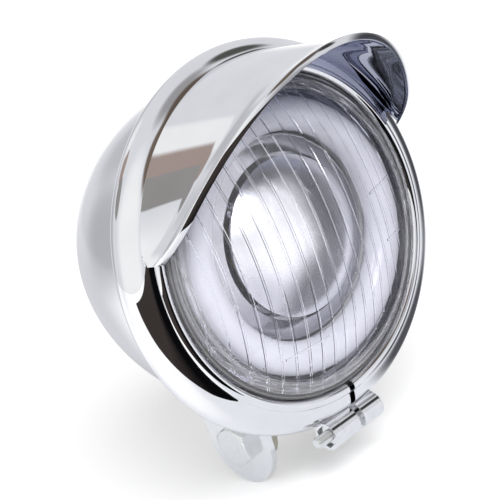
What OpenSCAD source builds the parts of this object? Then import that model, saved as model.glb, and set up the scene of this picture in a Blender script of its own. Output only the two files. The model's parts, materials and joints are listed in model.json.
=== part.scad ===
// Bullet headlight for a motorcycle, 4.5 inch lens, with a visor, a halo ring and an LED lamp.
// Millimetres. The origin is the middle of the mounting bolt, between the ears of the bracket.
// +X is to the right seen from the front, +Y is to the rear along the lamp's axis, +Z is up.
// Lamp pieces are drawn about the optical axis: y is the depth behind the crest of the bead.

/* [Mount] */
// Distance from the saddle's underside down to the mounting bolt
bolt_drop = 11.4; // [10.6:0.1:16]
// Distance of the mounting bolt behind the bead's crest
bolt_setback = 45; // [40:1:50]
// Outer width over the two ears
ears_w = 40; // [38:1:52]
// Thickness of an ear
ear_t = 2.4; // [2:0.2:4]
// Radius of an ear's round end
ear_r = 15.5; // [12:0.5:16]
// Length of the saddle that fits under the bucket
saddle_l = 32; // [28:1:36]
// Thickness of the saddle under the bucket
saddle_t = 5; // [4:0.5:6]
// Diameter of the mounting bolt, 3/8 inch
bolt_d = 9.5; // [8:0.1:10]
// Width across the flats of the bolt's head and nut
bolt_af = 14.3; // [13:0.1:17]
// Thickness of the bolt's head
bolt_head_t = 4; // [3:0.5:6.5]
// Thickness of the mounting nut
bolt_nut_t = 8; // [5:0.5:9]
// How far the bolt stands out of its nut
bolt_spare = 2; // [1:0.5:5]
// Outer diameter of the mounting washer
washer_d = 19; // [16:0.5:22]
// Thickness of the mounting washer
washer_t = 1.6; // [1:0.1:2.5]
// Outer diameter of the bushes inside the ears
bush_d = 20; // [14:0.5:22]
// Length of each bush
bush_l = 6.5; // [4:0.5:8]
// Diameter of the screws that hold the bracket
saddle_screw_d = 5; // [4:0.5:6]
// Distance between the two screws that hold the bracket
saddle_screw_pitch = 22; // [20:0.5:23]

/* [Bucket] */
// Step from the ring's rear lip in to the bucket's largest radius
bucket_step = 1.7; // [1.2:0.1:2.5]
// Length of the round tail behind the flange
bucket_l = 77; // [70:1:90]
// Thickness of the bucket's sheet
bucket_wall = 1.2; // [1:0.1:1.6]
// Radius of the flat at the tail's end
tail_flat_r = 9.5; // [9:0.5:12]
// Radius of the cable hole in the tail
tail_hole_r = 6; // [5:0.5:7]

/* [Trim ring] */
// Radius of the crest of the bead round the lens
bead_r = 56.6; // [56.2:0.1:57]
// Radius of the bead's round section
bead_round = 1.9; // [1.8:0.05:2.2]
// How far the ring bulges out past the bead's crest
ring_bulge = 10; // [9:0.2:14]
// Depth of the largest radius behind the bead's crest
ring_belly = 10.8; // [10.4:0.2:14]
// Distance from the largest radius back to the rear face
ring_tail = 4.4; // [4:0.1:6]
// Width of the round at the rear edge
ring_shoulder = 4.2; // [3:0.1:4.4]
// Step from the largest radius in to the rear lip's edge
ring_lip_step = 6.4; // [5.8:0.1:7]
// Thickness of the ring's sheet
ring_wall = 1.2; // [1:0.1:1.4]
// Width of the split at the bottom
ring_gap = 2.4; // [1.5:0.1:4]

/* [Clamp] */
// Distance of the clamp screw outside the ring's largest radius
clamp_out = 2; // [1:0.1:3]
// Depth of the clamp screw behind the bead's crest
clamp_b = 5.5; // [4.5:0.5:8]
// Outer diameter of the clamp barrels
barrel_d = 9.6; // [9:0.1:11]
// Length of the barrel at the screw's head
head_barrel_l = 9.5; // [8:0.5:14]
// Length of the plain part of the barrel at the nut
nut_barrel_l = 8; // [6:0.5:10]
// Length of the cup at the nut barrel's end
nut_cup_l = 4.4; // [4:0.2:6]
// Outer diameter of that cup
nut_cup_d = 10.2; // [9.8:0.1:12]
// Diameter of the clamp screw
clamp_screw_d = 4; // [3:0.5:4]
// Width across the flats of the clamp nut
clamp_nut_af = 7; // [6:0.5:7.5]
// Thickness of the clamp nut
clamp_nut_t = 3.2; // [2:0.2:4]
// Length of the clamp screw beyond the end of the nut barrel
clamp_screw_spare = 5; // [2:0.5:8]

/* [Visor] */
// Step from the bead's crest out to the visor's sheet where it stands on the ring
visor_step = 5.3; // [5:0.1:5.8]
// How much further in the sheet is at the lip's sides than at the ring
visor_inset = 2.5; // [0:0.1:4]
// How much further out the lip is at the top
visor_crown = 2.8; // [0:0.1:4]
// How far the lip reaches in front of the bead's crest at the top
visor_reach = 46.8; // [35:0.5:60]
// How far the lip falls back for each millimetre below the top
visor_rake = 0.9; // [0.75:0.01:0.95]
// Half angle of the visor at its tips
visor_half = 74.2; // [72.4:0.2:76]
// Half angle of the edge that stands on the ring
visor_seat_half = 70; // [60:1:72]
// How far the lip's two ends curl back towards the ring
visor_curl = 4.4; // [0:0.2:5]
// Thickness of the visor's sheet
visor_t = 1.3; // [1:0.1:1.6]
// Radius of the rolled edge along the lip
lip_roll = 1; // [0.8:0.05:1.1]

/* [Lens] */
// How far the lens flange reaches past the bead's crest
lens_flange_step = 0.8; // [0.4:0.1:1]
// Gap round the lens's wall inside the bead
lens_gap = 0.5; // [0.2:0.1:1]
// How far the lens stands in front of the bead's crest
lens_reach = 15; // [14.5:0.5:24]
// Radius of the lens's round face
lens_ball_r = 100; // [98:1:110]
// Thickness of the lens
lens_t = 2.4; // [1.8:0.1:2.6]
// Thickness of the lens flange
lens_flange_t = 2.5; // [2:0.1:3]
// Distance between the upright flutes
flute_pitch = 5.3; // [4:0.1:8]
// Width of a flute's ridge
flute_w = 0.7; // [0.4:0.1:1.2]
// Height of a flute's ridge
flute_h = 0.4; // [0.2:0.1:0.5]
// Thickness of the gasket in front of the lens flange
gasket_t = 1; // [0.6:0.1:1.4]

/* [Reflector] */
// Step from the lens's wall in to the bowl's mouth
bowl_step = 3.2; // [2.6:0.1:4]
// Focal length of the bowl
bowl_focus = 17; // [16:0.5:20]
// Radius of the neck's hole
neck_r = 14; // [12:0.5:15]
// Thickness of the reflector's sheet
bowl_wall = 1.2; // [1:0.1:1.6]
// Gap between the rear flange and the inside of the ring
seat_gap = 1.8; // [1.4:0.1:2.4]
// Width of a spring clip
clip_w = 8; // [5:0.5:12]
// Thickness of a spring clip
clip_t = 0.8; // [0.5:0.1:1]
// Length of a clip's bent end
clip_bend_l = 3.4; // [2:0.1:4]

/* [Halo] */
// Step from the lens's wall in to the middle of the halo tube
halo_step = 13.9; // [12:0.1:16]
// Radius of the halo tube's section
halo_round = 5.7; // [5:0.1:5.8]
// Gap between the halo tube and the lens's flutes
halo_gap = 0.3; // [0.2:0.1:1]
// Thickness of the tube's wall
halo_wall = 1.2; // [0.8:0.1:1.6]
// Distance from the tube's middle back to its open side
halo_cut = 3.7; // [3:0.1:4]
// Thickness of the halo's circuit board
halo_board_t = 1.6; // [1:0.1:2]
// Number of light chips on the halo's board
halo_chip_count = 24; // [12:1:30]
// Length of a light chip along the halo
halo_chip_l = 3.5; // [2.5:0.1:4]
// Width of a light chip across the halo
halo_chip_w = 2.8; // [2:0.1:3.5]
// Thickness of a light chip on the halo's board
halo_chip_t = 1.4; // [0.8:0.1:1.6]
// Thickness of the carrier behind the board
carrier_t = 2; // [1.5:0.1:3]
// Width of the carrier under the bezel's rim
carrier_seat = 1.3; // [1:0.1:2]
// Radius of the carrier's legs
leg_r = 2; // [1.5:0.1:2.5]
// Length of the carrier's legs past the reflector's bosses
leg_spare = 2.2; // [2:0.1:2.4]
// Number of the carrier's legs
leg_count = 3; // [3:1:4]
// Wall of a boss round a leg
boss_wall = 1.6; // [1.2:0.1:2]
// Least height of a boss in front of the bowl
boss_front_l = 0.3; // [0.2:0.1:1]
// Least height of a boss behind the bowl
boss_rear_l = 0.3; // [0.2:0.1:0.4]
// Thickness of a nut on the carrier's legs
carrier_nut_t = 1.5; // [1:0.1:1.6]

/* [Bezel and dome] */
// Gap between the bezel and the halo tube
bezel_gap = 0.3; // [0.2:0.1:0.6]
// Depth of the bezel's outer edge
bezel_b = 6.2; // [5.4:0.1:6.8]
// Depth of the bezel's inner edge, beside the dome's rim
bezel_lip_b = 3.9; // [3.6:0.1:4.6]
// Width of the slot between the dome's rim and the bezel
bezel_slot = 1.2; // [0.8:0.1:2]
// Depth of the bezel's inner floor
bezel_floor_b = 7.5; // [6.8:0.1:8]
// Thickness of the bezel
bezel_t = 1.2; // [1:0.1:1.5]
// Width of the bezel's floor under the dome's rim
bezel_floor_w = 3; // [2.2:0.1:5]
// Step from the bezel's rim in to the dome's rim
dome_step = 7.6; // [7:0.1:10]
// Height of the dome in front of its rim
dome_h = 9; // [6:0.5:11]
// Depth of the dome's rim
dome_b = 1.8; // [0.5:0.1:2.5]
// Thickness of the dome's sheet
dome_t = 1.2; // [0.8:0.1:1.5]
// Number of legs under the dome
dome_leg_count = 4; // [3:1:6]
// Width of a dome leg
dome_leg_w = 6; // [4:0.5:8]

/* [Lamp core] */
// Gap between the lamp's post and the neck
post_gap = 5; // [4:0.5:6]
// Depth of the post's front end
post_b = 12; // [10:0.5:14]
// How far the post's flange reaches past the neck's hole
post_flange_step = 3; // [2:0.5:4]
// Thickness of the post's flange
post_flange_t = 2.8; // [2:0.2:4]
// Width of the reflector's flat round the post's flange
neck_land_w = 3; // [2:0.5:4]
// How far the lock ring reaches in over the post's flange
lock_lap = 2; // [1:0.5:2.5]
// Thickness of the lock ring behind the post's flange
lock_t = 1.2; // [0.8:0.1:2]
// Distance from the post's front end back to the chip board
board_setback = 3; // [1:0.5:4]
// Length of the chip board along the post
core_board_l = 20; // [16:1:24]
// Thickness of the chip board at its flats
core_board_t = 1.4; // [1:0.1:1.8]
// Side of a square light chip
chip_w = 5; // [3:0.5:6]
// Thickness of a light chip
chip_t = 1; // [0.6:0.1:1.4]
// How far the fins stand out of the heat sink's core
fin_reach = 11; // [8:0.5:13]
// Number of the heat sink's fins
fin_count = 5; // [3:1:6]
// Distance between the fins
fin_pitch = 4; // [3:0.2:5]
// Thickness of a fin
fin_t = 1.4; // [1:0.1:2]
// Distance from the post's flange to the first fin
fin_start = 3; // [2:0.5:4]
// Distance from the last fin to the heat sink's rear end
sink_end_l = 1.6; // [1:0.1:3]

/* [Driver] */
// Width of the driver's case
driver_w = 36; // [30:1:38]
// Height of the driver's case
driver_h = 14; // [12:0.5:16]
// Height of the driver's feet above the bucket's lowest line
driver_lift = 15; // [14.5:0.5:16]
// Thickness of the driver's feet
foot_t = 2; // [1.5:0.1:3]
// Thickness of the backing plate
backing_t = 1.6; // [1.2:0.1:2]
// Radius of the inner leads
lead_r = 1.6; // [1.2:0.1:1.8]
// Width of the supply socket
socket_w = 12; // [8:0.5:14]
// Length of the supply socket
socket_l = 8; // [6:0.5:10]
// Height of the supply socket
socket_h = 8; // [6:0.5:9]
// Thickness of the socket's walls
socket_wall = 1.2; // [0.8:0.1:1.6]

/* [Grommet] */
// Radius of the cable hole in the grommet
grommet_bore_r = 3; // [2.5:0.1:3.5]
// How far the grommet's collars reach past the tail's hole
grommet_lap = 2.5; // [2:0.1:3]
// Thickness of each collar
grommet_collar_t = 2.4; // [2:0.1:3]

/* [Hidden] */

// Clearance of a bolt or lead in its hole, and the overlap that a cut needs past a face
play = 0.3;
past = 1;
// Facets of a turned profile and of a round hole
turn_steps = 96;
hole_steps = 48;

// Depths of the stack that the ring clamps together
lip_b = bead_round + ring_wall;
lens_b = lip_b + gasket_t;
bowl_b = lens_b + lens_flange_t;
ring_rear_b = ring_belly + ring_tail;
bucket_b = ring_rear_b - ring_wall - bucket_wall;
seat_b = bucket_b - bowl_wall;
lens_open_r = bead_r - bead_round;
lens_wall_r = lens_open_r - lens_gap;
lens_r = bead_r + lens_flange_step;
ring_r = bead_r + ring_bulge;
ring_lip_r = ring_r - ring_lip_step;
bucket_r = ring_lip_r - bucket_step;
seat_r = ring_r - ring_wall - seat_gap;
clamp_r = ring_r + clamp_out;
visor_seat_r = bead_r + visor_step;
visor_lip_r = visor_seat_r - visor_inset;
bowl_r = lens_wall_r - bowl_step;
halo_r = lens_wall_r - halo_step;
grommet_r = tail_hole_r + grommet_lap;
crease_r = bead_r + bead_round * cos(20);
crease_b = bead_round * (1 - sin(20));
skirt_r = lens_r + 0.2;
bead_fold = bead_round - ring_wall + 0.2;

// The bucket's tail
tail_b = bucket_b + bucket_l * sqrt(1 - pow(tail_flat_r / bucket_r, 2));

// The mount
axis_height = bucket_radius(bolt_setback) + saddle_t + bolt_drop;
ear_x = ears_w / 2;
saddle_front = bolt_setback - saddle_l / 2;
saddle_rear = bolt_setback + saddle_l / 2;
screw_b = [bolt_setback - saddle_screw_pitch / 2, bolt_setback + saddle_screw_pitch / 2];

// The halo, close behind the lens's round face
lens_mid_b = lens_ball_r - lens_reach;
halo_ball_r = lens_ball_r - lens_t - flute_h - halo_gap - halo_round;
halo_b = lens_mid_b - sqrt(halo_ball_r * halo_ball_r - halo_r * halo_r);
halo_open_b = halo_b + halo_cut;
carrier_b = halo_open_b + halo_board_t;
carrier_rear_b = carrier_b + carrier_t;
halo_foot = sqrt(halo_round * halo_round - halo_cut * halo_cut);
bezel_r = halo_r - halo_round - bezel_gap;
carrier_in_r = bezel_r - carrier_seat;
dome_r = bezel_r - dome_step;
bezel_hole_r = dome_r - bezel_floor_w;
bezel_lip_r = dome_r + bezel_slot;
boss_r = leg_r + boss_wall;
boss_front_b = bowl_depth(halo_r + boss_r) - boss_front_l;
boss_rear_b = bowl_depth(halo_r - boss_r) + 1.2 * bowl_wall + boss_rear_l;

// The lamp's core
neck_b = bowl_depth(neck_r);
neck_rear_b = neck_b + bowl_wall;
post_rear_b = neck_rear_b + post_flange_t;
post_r = neck_r - post_gap;
post_flange_r = neck_r + post_flange_step;
neck_flat_r = post_flange_r + neck_land_w;
fin_r = post_r + fin_reach;
board_b = post_b + board_setback;
board_af = 2 * (post_r + core_board_t);
sink_rear_b = post_rear_b + fin_start + (fin_count - 1) * fin_pitch + fin_t + sink_end_l;
lead_socket = 5;

// The driver's place
driver_z = driver_lift - bucket_r;
driver_l = saddle_screw_pitch - 1.8 * saddle_screw_d - 1;
driver_top_z = driver_z + driver_h;
driver_front_b = bolt_setback - driver_l / 2;
driver_rear_b = bolt_setback + driver_l / 2;

// Route of the lead from the driver past the fins to the heat sink, and of the halo's lead
function beside_fins(x, b) = [x, b, -sqrt(pow(fin_r + lead_r + 2.6, 2) - x * x)];
main_route = [[9, bolt_setback, driver_top_z], [9, bolt_setback, driver_top_z + 4],
    beside_fins(9.5, post_rear_b + 1), beside_fins(11, post_rear_b + 6),
    beside_fins(12, post_rear_b + 14), beside_fins(12, sink_rear_b - 2),
    [11.5, sink_rear_b + 4, -17.5], [9, sink_rear_b + 8, -12], [5, sink_rear_b + 9, -6],
    [1.5, sink_rear_b + 7, -1.5], [0.2, sink_rear_b + 3, 0], [0, sink_rear_b, 0],
    [0, sink_rear_b - lead_socket, 0]];
halo_lead_x = 12;
halo_lead_z = -sqrt(pow(halo_r - 2.3, 2) - halo_lead_x * halo_lead_x);
socket_lead_z = driver_z + driver_h / 2;
halo_route = [[halo_lead_x, carrier_b, halo_lead_z], [halo_lead_x, carrier_rear_b + 1.5, halo_lead_z],
    [halo_lead_x + 0.4, 17, halo_lead_z + 0.4], [halo_lead_x + 0.8, 23, halo_lead_z + 0.8],
    [halo_lead_x + 0.6, 30, socket_lead_z + 0.8], [halo_lead_x, driver_front_b - 4, socket_lead_z],
    [halo_lead_x, driver_front_b, socket_lead_z]];

// Depth of the bowl's front face at a radius
function bowl_depth(r) = bowl_b + (bowl_r * bowl_r - r * r) / (4 * bowl_focus);
// Radius of the bucket's outside at a depth
function bucket_radius(b) = bucket_r * sqrt(1 - pow((b - bucket_b) / bucket_l, 2));
// Points of an ellipse, from one angle to another: 270 is its front, 0 and 360 its outside
function oval(r, b, half_r, half_b, from, to, steps) =
    [for (i = [0:steps]) let (a = from + (to - from) * i / steps)
        [r + half_r * cos(a), b + half_b * sin(a)]];
function reversed(list) = [for (i = [len(list) - 1:-1:0]) list[i]];

// Moves lamp pieces from the optical axis to the mount's frame
module on_axis() translate([0, -bolt_setback, axis_height]) children();
// A solid of revolution round the optical axis, from points of radius and depth
module turned(points) rotate([-90, 0, 0]) rotate_extrude($fn = turn_steps) polygon(points);
// A round bar along the optical axis
module axial(x, z, from_b, to_b, r)
    translate([x, from_b, z]) rotate([-90, 0, 0]) cylinder(h = to_b - from_b, r = r, $fn = hole_steps);
// A round bar from side to side
module cross(from_x, to_x, b, z, r, steps = hole_steps)
    translate([from_x, b, z]) rotate([0, 90, 0]) cylinder(h = to_x - from_x, r = r, $fn = steps);
// A box from one corner to the other
module block(low, high) translate(low) cube(high - low);

// A round tube swept along points, with a ring of corners at each of them
module tube(route, r, sides = 8) {
    last = len(route) - 1;
    function along(i) = let (d = route[min(i + 1, last)] - route[max(i - 1, 0)]) d / norm(d);
    function side_of(i) = let (c = cross([1, 0.2, 0.3], along(i))) c / norm(c);
    corners = [for (i = [0:last]) let (u = side_of(i), v = cross(along(i), u))
        for (k = [0:sides - 1]) route[i] + r * (u * cos(360 * k / sides) + v * sin(360 * k / sides))];
    walls = [for (i = [0:last - 1]) for (k = [0:sides - 1]) let (n = (k + 1) % sides)
        [i * sides + k, (i + 1) * sides + k, (i + 1) * sides + n, i * sides + n]];
    near_end = [for (k = [0:sides - 1]) k];
    far_end = [for (k = [sides - 1:-1:0]) last * sides + k];
    polyhedron(points = corners, faces = concat(walls, [near_end, far_end]), convexity = 6);
}

// The bucket's curve from its flange to the flat at its tail
function tail_curve(inset) = let (last = asin(tail_flat_r / bucket_r))
    oval(0, bucket_b, bucket_r - inset, bucket_l - inset, 0, 90 - last, 40);
module bucket_outside() turned(concat([[0, bucket_b]], tail_curve(0), [[0, tail_b]]));

module bucket() color("silver") on_axis() difference() {
    turned(concat(
        [[bucket_r - bucket_wall, bucket_b], [seat_r, bucket_b],
         [seat_r, bucket_b + bucket_wall / 2], [ring_r - ring_shoulder, bucket_b + bucket_wall],
         [bucket_r, bucket_b + bucket_wall]],
        [for (p = tail_curve(0)) if (p[1] > bucket_b + bucket_wall) p],
        [[tail_hole_r, tail_b], [tail_hole_r, tail_b - bucket_wall], [tail_flat_r, tail_b - bucket_wall]],
        reversed([for (p = tail_curve(bucket_wall)) if (p[1] < tail_b - bucket_wall) p])));
    for (b = screw_b)
        translate([0, b, -bucket_r])
            cylinder(h = bucket_r, r = saddle_screw_d / 2 + play, $fn = hole_steps);
}

// The ring's outer face from the bead to the rear face
function ring_face() = concat(
    oval(bead_r, bead_round, bead_round, bead_round, 180, 340, 14),
    oval(crease_r, ring_belly, ring_r - crease_r, ring_belly - crease_b, 272, 360, 26),
    oval(ring_r - ring_shoulder, ring_belly, ring_shoulder, ring_tail, 6, 90, 12));
module ring_outside() turned(concat([[0, bead_round]], ring_face(), [[0, ring_rear_b]]));

// Cuts a ring down to the stretch that the visor stands on
module visor_sector(half) rotate([-90, 0, 0]) linear_extrude(height = 3 * ring_belly, center = true)
    polygon(concat([[0, 0]], [for (i = [-2:2]) let (a = half * i / 2)
        [1.3 * ring_r * sin(a), -1.3 * ring_r * cos(a)]]));

visor_foot_b = crease_b + 0.8;
module visor_seat() intersection() {
    half = visor_t / 2 + play / 6;
    turned([[visor_seat_r - half, -past], [visor_seat_r + half, -past],
        [visor_seat_r + half, visor_foot_b], [visor_seat_r - half, visor_foot_b]]);
    visor_sector(visor_seat_half + 0.5);
}

module trim_ring() color("gainsboro") on_axis() difference() {
    turned(concat([[lens_open_r, lip_b]], ring_face(),
        [[ring_lip_r, ring_rear_b], [ring_lip_r, ring_rear_b - ring_wall]],
        oval(ring_r - ring_shoulder, ring_belly, ring_shoulder - ring_wall, ring_tail - ring_wall,
            90, 6, 10),
        oval(crease_r, ring_belly, ring_r - crease_r - ring_wall, ring_belly - crease_b - ring_wall,
            360, 270, 18),
        oval(bead_r, bead_round, bead_fold, bead_fold, 340, 180, 10),
        [[lens_open_r + 1, lip_b]]));
    block([-ring_gap / 2, -past, -ring_r - past], [ring_gap / 2, ring_rear_b + past, -bead_r / 2]);
    visor_seat();
}

// Radius of the sheet's middle and depth at an angle from the top, t from the seat to the lip
function visor_lip_at(a) = visor_lip_r + visor_crown * (1 + cos(2.6 * a)) / 2;
function visor_front_b(a) = visor_rake * visor_lip_at(a) * (1 - cos(a)) - visor_reach
    + visor_curl * pow(max(0, 5 * abs(a) / visor_half - 4), 2);
function visor_rear_b(a) = abs(a) <= visor_seat_half ? visor_foot_b
    : visor_foot_b + (visor_front_b(visor_half) + 3 * lip_roll - visor_foot_b)
        * (abs(a) - visor_seat_half) / (visor_half - visor_seat_half);
function visor_point(a, t, out) = let (
    r = visor_seat_r * (1 - t) + visor_lip_at(a) * t + out,
    b = visor_rear_b(a) * (1 - t) + visor_front_b(a) * t) [r * sin(a), b, r * cos(a)];
// The sheet's section: fractions of the plain sheet, then the rolled lip
function visor_section(a) = let (
    span = visor_rear_b(a) - visor_front_b(a), half = visor_t / 2, plain = 1 - 2.2 * lip_roll / span,
    side = concat([for (f = [0, 0.25, 0.5, 0.75, 1]) [f * plain, half]],
        [[1 - 1.5 * lip_roll / span, lip_roll], [1 - 0.6 * lip_roll / span, 0.95 * lip_roll],
         [1, 0.5 * lip_roll]]))
    concat([for (p = side) visor_point(a, p[0], p[1])],
        [for (p = reversed(side)) visor_point(a, p[0], -p[1])]);

module visor() color("lightgray") on_axis() {
    stations = 72;
    corners = 16;
    points = [for (i = [0:stations]) for (p = visor_section(visor_half * (2 * i / stations - 1))) p];
    walls = [for (i = [0:stations - 1]) for (k = [0:corners - 1]) let (n = (k + 1) % corners)
        each [[i * corners + k, i * corners + n, (i + 1) * corners + n],
              [i * corners + k, (i + 1) * corners + n, (i + 1) * corners + k]]];
    left_end = [for (k = [corners - 1:-1:0]) k];
    right_end = [for (k = [0:corners - 1]) stations * corners + k];
    polyhedron(points = points, faces = concat(walls, [left_end, right_end]), convexity = 8);
}

// The two barrels of the clamp, each cut to the ring's outside
nut_end_x = -ring_gap / 2 - nut_barrel_l - nut_cup_l;
head_end_x = ring_gap / 2 + head_barrel_l;
nut_x = nut_end_x + 1.2;
clamp_head_r = clamp_screw_d * 0.85;
clamp_head_t = clamp_screw_d * 0.65;

module nut_barrel() color("silver") on_axis() difference() {
    union() {
        cross(nut_end_x + nut_cup_l, -ring_gap / 2, clamp_b, -clamp_r, barrel_d / 2);
        cross(nut_end_x, nut_end_x + nut_cup_l, clamp_b, -clamp_r, nut_cup_d / 2);
    }
    cross(nut_end_x - past, 0, clamp_b, -clamp_r, clamp_screw_d / 2 + play / 2);
    cross(nut_end_x - past, nut_x + clamp_nut_t, clamp_b, -clamp_r,
        (clamp_nut_af + play) / sqrt(3), 6);
    ring_outside();
}

module head_barrel() color("silver") on_axis() difference() {
    cross(ring_gap / 2, head_end_x, clamp_b, -clamp_r, barrel_d / 2);
    cross(0, head_end_x + past, clamp_b, -clamp_r, clamp_screw_d / 2 + play / 2);
    cross(head_end_x - clamp_head_t, head_end_x + past, clamp_b, -clamp_r, clamp_head_r + play / 2);
    ring_outside();
}

module clamp_screw() color("gray") on_axis() difference() {
    union() {
        cross(nut_end_x - clamp_screw_spare, head_end_x - clamp_head_t, clamp_b, -clamp_r,
            clamp_screw_d / 2);
        cross(head_end_x - clamp_head_t, head_end_x, clamp_b, -clamp_r, clamp_head_r);
    }
    cross(head_end_x - clamp_head_t / 2, head_end_x + past, clamp_b, -clamp_r, clamp_screw_d * 0.42, 6);
}

module clamp_nut() color("gray") on_axis() difference() {
    cross(nut_x, nut_x + clamp_nut_t, clamp_b, -clamp_r, clamp_nut_af / sqrt(3), 6);
    cross(nut_x - past, nut_x + clamp_nut_t + past, clamp_b, -clamp_r, clamp_screw_d / 2);
}

// The lens: a side wall and a round face, with flutes and steps inside
module lens_ball(inset) translate([0, lens_mid_b, 0]) sphere(r = lens_ball_r - inset, $fn = turn_steps);
module flute(x, low_z, high_z)
    block([x - flute_w / 2, -lens_reach, low_z], [x + flute_w / 2, lens_b, high_z]);
// Heights of the short steps: side position, height and length
lens_steps = [[-38, -32, 10], [-16, -33, 18], [-27, -45, 12], [38, 2, 20], [36, -16, 12]];

module lens() color([0.86, 0.88, 0.98, 0.35]) on_axis() {
    flute_reach = lens_wall_r - lens_t;
    flute_half = floor(flute_reach / flute_pitch - 0.4);
    difference() {
        union() {
            turned([[0, lens_b], [lens_r, lens_b], [lens_r, bowl_b], [0, bowl_b]]);
            intersection() {
                lens_ball(0);
                axial(0, 0, -lens_reach - past, bowl_b, lens_wall_r);
            }
        }
        difference() {
            axial(0, 0, -lens_reach, bowl_b + past, flute_reach);
            difference() {
                translate([0, lens_mid_b, 0]) rotate([-90, 0, 0])
                    translate([0, 0, -lens_ball_r - past]) cylinder(h = lens_ball_r, r = lens_r);
                lens_ball(lens_t);
            }
            intersection() {
                union() {
                    for (i = [-flute_half:flute_half]) let (x = i * flute_pitch,
                        z = sqrt(flute_reach * flute_reach - x * x)) flute(x, -z, z);
                    for (s = lens_steps) block([s[0] - s[2] / 2, -lens_reach, s[1] - flute_w / 2],
                        [s[0] + s[2] / 2, lens_b, s[1] + flute_w / 2]);
                }
                difference() {
                    lens_ball(lens_t - flute_h);
                    lens_ball(lens_t + flute_h);
                }
            }
        }
    }
}

module lens_gasket() color([0.12, 0.12, 0.14]) on_axis()
    turned([[lens_open_r, lip_b], [lens_r, lip_b], [lens_r, lens_b], [lens_open_r, lens_b]]);

// The reflector: a bowl with a skirt and a rear flange that the ring clamps
module reflector() color([0.7, 0.71, 0.74]) on_axis() {
    steps = 18;
    neck_point = neck_r + bowl_wall;
    bowl_curve = [for (i = [0:steps])
        let (r = bowl_r + (neck_r - bowl_r) * i / steps) [r, bowl_depth(r)]];
    difference() {
        union() {
            turned(concat(
                [[seat_r, seat_b], [skirt_r + bowl_wall, seat_b], [skirt_r + bowl_wall, bowl_b]],
                bowl_curve, [[neck_r, neck_rear_b], [neck_flat_r, neck_rear_b]],
                reversed([for (p = bowl_curve) if (p[0] > neck_flat_r) p + [0, 1.2 * bowl_wall]]),
                [[bowl_r, bowl_b + bowl_wall], [skirt_r, bowl_b + bowl_wall], [skirt_r, bucket_b],
                 [seat_r, bucket_b]]));
            legs() axial(0, 0, boss_front_b, boss_rear_b, boss_r);
        }
        legs() axial(0, 0, 0, boss_rear_b + past, leg_r + play);
        axial(halo_route[3][0], halo_route[3][2], bowl_b, neck_b, lead_r + 3 * play);
    }
}

// Copies round the halo, one for each leg of its carrier
module legs() for (i = [0:leg_count - 1])
    rotate([0, 90 + 360 * i / leg_count, 0]) translate([halo_r, 0, 0]) children();

// Spring clips that press the lamp unit against the bucket's flange
module unit_clips() color("goldenrod") on_axis() for (a = [45, 135, 225, 315]) rotate([0, a, 0]) {
    clip_out = ring_r - ring_wall - 0.9;
    block([skirt_r + bowl_wall + play, seat_b - clip_t, -clip_w / 2], [clip_out, seat_b, clip_w / 2]);
    block([clip_out - clip_t, seat_b - clip_bend_l, -clip_w / 2],
        [clip_out, seat_b - clip_t, clip_w / 2]);
}

module halo_ring_solid(r) rotate([-90, 0, 0]) rotate_extrude($fn = turn_steps)
    translate([halo_r, halo_b]) circle(r = r, $fn = 40);
module halo_tube() color("white") on_axis() difference() {
    halo_ring_solid(halo_round);
    halo_ring_solid(halo_round - halo_wall);
    turned([[halo_r - halo_round - past, halo_open_b], [halo_r + halo_round + past, halo_open_b],
        [halo_r + halo_round + past, halo_open_b + halo_round],
        [halo_r - halo_round - past, halo_open_b + halo_round]]);
}

module halo_board() color("whitesmoke") on_axis()
    turned([[halo_r - halo_foot, halo_open_b], [halo_r + halo_foot, halo_open_b],
        [halo_r + halo_foot, carrier_b], [halo_r - halo_foot, carrier_b]]);

module halo_chips() color("khaki") on_axis() for (i = [0:halo_chip_count - 1])
    rotate([0, 360 * i / halo_chip_count, 0])
        block([halo_r - halo_chip_w / 2, halo_open_b - halo_chip_t, -halo_chip_l / 2],
            [halo_r + halo_chip_w / 2, halo_open_b, halo_chip_l / 2]);

module halo_carrier() color("dimgray") on_axis() {
    difference() {
        turned([[carrier_in_r, carrier_b], [halo_r + halo_foot, carrier_b],
            [halo_r + halo_foot, carrier_rear_b], [carrier_in_r, carrier_rear_b]]);
        axial(halo_route[0][0], halo_route[0][2], carrier_b - past, carrier_rear_b + past, lead_r + play);
    }
    legs() axial(0, 0, carrier_rear_b, boss_rear_b + leg_spare, leg_r);
    legs() axial(0, 0, carrier_rear_b, boss_front_b, boss_r);
}

module carrier_nuts() color("gray") on_axis() legs() difference() {
    axial(0, 0, boss_rear_b, boss_rear_b + carrier_nut_t, boss_r);
    axial(0, 0, boss_rear_b - past, boss_rear_b + carrier_nut_t + past, leg_r);
}

// The chrome bezel round the dome: a sloped face, a wall behind the slot and a floor for the dome's legs
module inner_bezel() color("darkgray") on_axis()
    turned([[bezel_r, carrier_b], [bezel_r, bezel_b], [bezel_lip_r, bezel_lip_b],
        [bezel_lip_r, bezel_floor_b], [bezel_hole_r, bezel_floor_b],
        [bezel_hole_r, bezel_floor_b + bezel_t], [bezel_lip_r + bezel_t, bezel_floor_b + bezel_t],
        [bezel_lip_r + bezel_t, bezel_lip_b + 1.5 * bezel_t],
        [carrier_in_r, bezel_b + bezel_t / 2], [carrier_in_r, carrier_b]]);

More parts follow.
